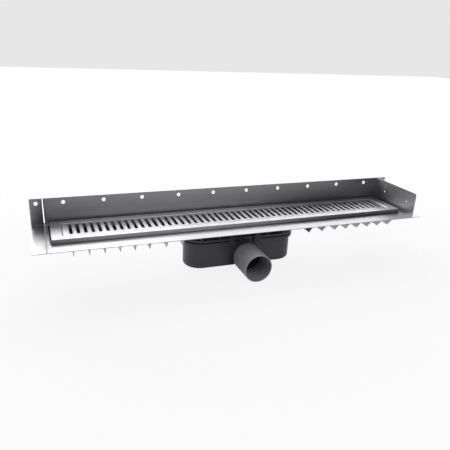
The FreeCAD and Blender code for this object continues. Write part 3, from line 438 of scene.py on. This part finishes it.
STUD_PITCH = 1.0 * MM
STUD_SLOT_HALF_WIDTH = 0.5 * MM
STUD_SLOT_DEPTH = 1.4 * MM
SLOT_CUTTER_RISE = 1.0 * MM
SLOT_CUTTER_REACH = 1.2


def levelling_studs():
    """Threaded studs with a driver's slot in the top."""
    shape = bmesh.new()
    slots = bmesh.new()
    for corners in solids_of("levelling_screws"):
        centre = middle_of(corners)
        low, top = corners[0].z, corners[1].z
        radius = (corners[1].x - corners[0].x) / 2
        skin(shape, thread_rings(centre, radius, STUD_PITCH, low, top))
        reach, half = radius * SLOT_CUTTER_REACH, STUD_SLOT_HALF_WIDTH
        outline = [(-reach, -half), (reach, -half), (reach, half), (-reach, half)]
        skin(slots, [
            [(centre[0] + x, centre[1] + y, level) for x, y in outline]
            for level in (top - STUD_SLOT_DEPTH, top + SLOT_CUTTER_RISE)])
    carve(
        hand_over(shape, "levelling_studs", zinc, "levelling_screws"), slots)


NUT_SIDES = 48
NUT_BORE = 3.0 * MM
NUT_LEAD_IN = 0.4 * MM
NUT_MOUTH = 1.12
NUT_FACE = 0.96
NUT_CHAMFER = math.radians(30)


def chamfered_nuts():
    """Hexagon nuts with their corners turned down on both faces."""
    shape = bmesh.new()
    for corners in solids_of("lock_nuts"):
        centre = middle_of(corners)
        low, top = corners[0].z, corners[1].z
        flat = (corners[1].y - corners[0].y) / 2
        edge_low, edge_high = [], []
        for index in range(NUT_SIDES):
            angle = 2 * math.pi * index / NUT_SIDES
            off_flat = (angle + math.pi / 6) % (math.pi / 3) - math.pi / 6
            reach = flat / math.cos(math.pi / 6 - abs(off_flat))
            drop = (reach - flat * NUT_FACE) * math.tan(NUT_CHAMFER)
            x = centre[0] + reach * math.cos(angle)
            y = centre[1] + reach * math.sin(angle)
            edge_low.append((x, y, low + drop))
            edge_high.append((x, y, top - drop))
        skin(shape, [
            ring_of(centre, NUT_BORE, low + NUT_LEAD_IN, NUT_SIDES),
            ring_of(centre, NUT_BORE * NUT_MOUTH, low, NUT_SIDES),
            ring_of(centre, flat * NUT_FACE, low, NUT_SIDES), edge_low, edge_high,
            ring_of(centre, flat * NUT_FACE, top, NUT_SIDES),
            ring_of(centre, NUT_BORE * NUT_MOUTH, top, NUT_SIDES),
            ring_of(centre, NUT_BORE, top - NUT_LEAD_IN, NUT_SIDES),
        ], closed=True)
    hand_over(shape, "chamfered_nuts", zinc, "lock_nuts", sharp_from=25)


# ---------------------------------------------------------------- knob

KNOB_SIDES = 96
KNOB_FLUTES = 16
KNOB_RADIUS = 7.0 * MM
KNOB_HEAD = 8.0 * MM
# from the stem's foot to the dished top: radius in mm, the level that the height is measured
# from, the height above it in mm, and the depth of the flutes as a share of the radius
KNOB_PROFILE = (
    (3.0, "foot", 0, 0), (2.7, "foot", 0.6, 0), (2.7, "head", -0.8, 0), (3.4, "head", 0, 0),
    (6.3, "head", 0, 0), (6.75, "head", 0.5, 0.03), (6.75, "top", -1.6, 0.03),
    (6.5, "top", -0.7, 0.02), (5.9, "top", -0.15, 0), (5.2, "top", 0, 0),
    (4.6, "top", -0.5, 0), (1.5, "top", -0.8, 0),
)


def turned_knob():
    """Fluted lifting knob on its stem."""
    shape = bmesh.new()
    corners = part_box("strainer_knob")
    centre = middle_of(corners)
    foot, top = corners[0].z, corners[1].z
    share = (corners[1].x - corners[0].x) / 2 / KNOB_RADIUS
    levels = {"foot": foot, "head": top - KNOB_HEAD, "top": top}
    skin(shape, [
        ring_of(centre, reach * share * MM, levels[start] + rise * MM, KNOB_SIDES,
                flute, KNOB_FLUTES)
        for reach, start, rise, flute in KNOB_PROFILE])
    hand_over(shape, "turned_knob", insert_grey, "strainer_knob")


pan_head_screws("pan_screws", "pan_head_screws", PAN_HEAD_HEIGHT)
pan_head_screws("flange_screws", "flange_head_screws", FLANGE_HEAD_HEIGHT)
levelling_studs()
chamfered_nuts()
turned_knob()

# ---------------------------------------------------------------- floor

FLOOR_REACH = 8.0
# share of the floor that is plain white to the eye: near the object, and away from it
FLOOR_GLOW = 0.86
FAR_GLOW = 1.0
FADE_START, FADE_END = 0.5, 1.2
# the part of that white which gloss and glass show
MIRRORED_GLOW = 0.2


def studio_floor():
    """A pale floor with the object's soft shadow, turning plain white away from the object."""
    bpy.ops.mesh.primitive_plane_add(size=FLOOR_REACH * 2, location=(0, 0, cad_box[0][2]))
    floor = bpy.context.object
    floor.name = "floor"
    material, tree = new_material("studio_floor")
    place = add(tree, "ShaderNodeTexCoord")
    distance = add(tree, "ShaderNodeVectorMath", {0: place.outputs["Object"]}, operation="LENGTH")
    fade = add(tree, "ShaderNodeMapRange", {"Value": distance.outputs["Value"]},
               From_Min=FADE_START, From_Max=FADE_END, To_Min=FLOOR_GLOW, To_Max=FAR_GLOW)
    path = add(tree, "ShaderNodeLightPath")
    indirect = add(tree, "ShaderNodeMath", {
        0: path.outputs["Is Glossy Ray"], 1: path.outputs["Is Transmission Ray"]},
        operation="MAXIMUM")
    mirrored = add(tree, "ShaderNodeMath", {0: indirect.outputs[0]}, {1: MIRRORED_GLOW},
                   operation="MULTIPLY")
    seen = add(tree, "ShaderNodeMath", {
        0: path.outputs["Is Camera Ray"], 1: mirrored.outputs[0]}, operation="MAXIMUM")
    share = add(tree, "ShaderNodeMath", {0: fade.outputs[0], 1: seen.outputs[0]},
                operation="MULTIPLY")
    paint = add(tree, "ShaderNodeBsdfDiffuse", Color=linear("#D6D6D7"))
    white = add(tree, "ShaderNodeEmission", Strength=1.0)
    mix = add(tree, "ShaderNodeMixShader", {
        0: share.outputs[0], 1: paint.outputs[0], 2: white.outputs[0]})
    add(tree, "ShaderNodeOutputMaterial", {"Surface": mix.outputs[0]})
    floor.data.materials.append(material)


# ---------------------------------------------------------------- room and lamps

BRIGHT_SIDE = Vector((-0.2, 0.85, 0.45)).normalized()
ROOM_DARK, ROOM_BRIGHT = 0.02, 1.2
# how far a direction leans to the bright side where the room is darkest and brightest
LEAN_DARK, LEAN_BRIGHT = -0.2, 0.8
ROOM_PAINT = 0.8
# beyond the floor the eye sees this grey; 1.0 is white
BACKDROP_PALE = 0.8


def studio_world():
    """A room that is bright behind and above and dark in front, with a plain pale backdrop."""
    world = bpy.data.worlds.new("studio")
    world.use_nodes = True
    tree = world.node_tree
    tree.nodes.clear()
    place = add(tree, "ShaderNodeTexCoord")
    lean = add(tree, "ShaderNodeVectorMath", {0: place.outputs["Generated"]}, {1: BRIGHT_SIDE},
               operation="DOT_PRODUCT")
    room = add(tree, "ShaderNodeMapRange", {"Value": lean.outputs["Value"]},
               From_Min=LEAN_DARK, From_Max=LEAN_BRIGHT, To_Min=ROOM_DARK, To_Max=ROOM_BRIGHT)
    path = add(tree, "ShaderNodeLightPath")
    lit = add(tree, "ShaderNodeBackground", {"Strength": room.outputs[0]},
              Color=[ROOM_PAINT] * 3 + [1])
    pale = add(tree, "ShaderNodeBackground", Color=[BACKDROP_PALE] * 3 + [1], Strength=1.0)
    mix = add(tree, "ShaderNodeMixShader", {
        0: path.outputs["Is Camera Ray"], 1: lit.outputs[0], 2: pale.outputs[0]})
    add(tree, "ShaderNodeOutputWorld", {"Surface": mix.outputs[0]})
    bpy.context.scene.world = world


# name, place and aim in metres, width and height in metres, watts
SOFTBOXES = (
    ("back_softbox", (0.6, 2.2, 1.6), (0, 0, 0.1), (4.6, 1.6), 54),
    ("left_softbox", (-0.6, 1.5, 1.2), (-0.3, 0, 0.1), (1.8, 1.0), 11),
    ("front_softbox", (0.3, -1.4, 1.4), (0, 0, 0), (1.4, 0.8), 8.5),
)


def softbox(name, place, aim, size, power):
    """A rectangular area lamp that points from its place to its aim."""
    data = bpy.data.lights.new(name, "AREA")
    data.shape = "RECTANGLE"
    data.size, data.size_y = size
    data.energy = power
    lamp = bpy.data.objects.new(name, data)
    bpy.context.collection.objects.link(lamp)
    lamp.location = place
    lamp.rotation_euler = (Vector(aim) - Vector(place)).to_track_quat("-Z", "Y").to_euler()


studio_floor()
studio_world()
for lamp_sizes in SOFTBOXES:
    softbox(*lamp_sizes)

# ---------------------------------------------------------------- camera

SHEET_GAUGE = 1.5 * MM
# in metres from the middle of the channel, the foot of the upstand and the flange's upper face
CAMERA_LEFT, CAMERA_STAND_OFF, CAMERA_RISE = 0.50334, 1.24365, 0.45842
CAMERA_TURN = math.radians(21.63)
CAMERA_DROP = math.radians(20.58)
CAMERA_ROLL = math.radians(2.76)
CAMERA_LENS, FILM_WIDTH = 39.55, 36
NEAREST_SEEN = 0.01


def studio_camera():
    """The camera, turned right and down from looking straight at the upstand."""
    tray_low, tray_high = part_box("tray_body")
    place = (
        -CAMERA_LEFT,
        tray_high[1] - SHEET_GAUGE - CAMERA_STAND_OFF,
        tray_low[2] + SHEET_GAUGE + CAMERA_RISE)
    ahead = Vector((
        math.sin(CAMERA_TURN) * math.cos(CAMERA_DROP),
        math.cos(CAMERA_TURN) * math.cos(CAMERA_DROP),
        -math.sin(CAMERA_DROP)))
    level = Vector((math.cos(CAMERA_TURN), -math.sin(CAMERA_TURN), 0))
    upward = level.cross(ahead)
    right = math.cos(CAMERA_ROLL) * level + math.sin(CAMERA_ROLL) * upward
    top = math.cos(CAMERA_ROLL) * upward - math.sin(CAMERA_ROLL) * level
    data = bpy.data.cameras.new("camera")
    data.lens = CAMERA_LENS
    data.sensor_width = FILM_WIDTH
    data.clip_start = NEAREST_SEEN
    camera = bpy.data.objects.new("camera", data)
    bpy.context.collection.objects.link(camera)
    turn = Matrix((
        (right.x, top.x, -ahead.x), (right.y, top.y, -ahead.y), (right.z, top.z, -ahead.z)))
    camera.matrix_world = Matrix.Translation(place) @ turn.to_4x4()
    bpy.context.scene.camera = camera


studio_camera()
bpy.context.scene.view_settings.view_transform = "Standard"
